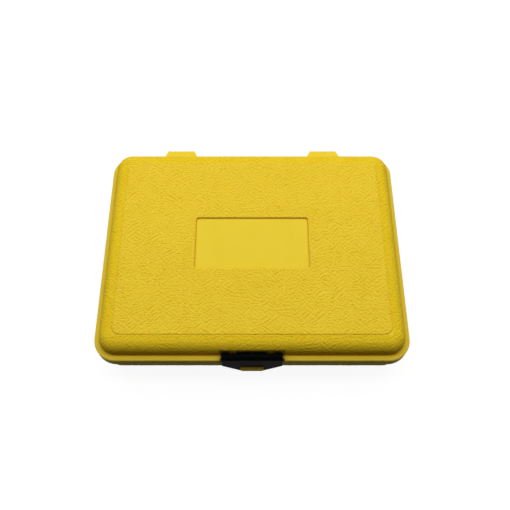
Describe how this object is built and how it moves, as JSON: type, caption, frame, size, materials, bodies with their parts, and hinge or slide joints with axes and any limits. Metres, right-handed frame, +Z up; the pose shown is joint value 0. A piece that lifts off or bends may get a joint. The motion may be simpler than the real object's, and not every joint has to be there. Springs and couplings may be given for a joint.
{
  "type": "die storage box",
  "caption": "Small moulded plastic case with a grained domed lid on two rear hinges, a snap latch at the front and foam cut to hold dies.",
  "frame": {"origin": "on the resting face, under the middle of the case's rounded rectangular outline", "axes": "+X along the front towards the viewer's right, +Y from the latch to the hinges, +Z up"},
  "size_m": [0.184, 0.1499, 0.0384],
  "materials": {
    "yellow_plastic": "leather-grained moulding with smooth flanges",
    "black_plastic": "satin moulding",
    "pin_steel": "drawn wire",
    "grey_foam": "fine-celled foam"
  },
  "bodies": {
    "base": {"base_shell": "yellow_plastic", "base_foam_backing": "grey_foam", "base_foam_insert": "grey_foam"},
    "lid": {"lid_shell": "yellow_plastic", "lid_foam_pad": "grey_foam", "hinge_pin_left": "pin_steel", "hinge_pin_right": "pin_steel"},
    "latch": {"latch": "black_plastic", "latch_pin": "pin_steel"}
  },
  "joints": [
    {"name": "lid_hinge", "type": "hinge", "parent": "base", "child": "lid", "pos_m": [0, 0.0742, 0.0235], "axis": [-1, 0, 0], "range_deg": [0, 180]},
    {"name": "latch_pivot", "type": "hinge", "parent": "lid", "child": "latch", "pos_m": [0, -0.0695, 0.0294], "axis": [-1, 0, 0], "range_deg": [0, 110]}
  ]
}
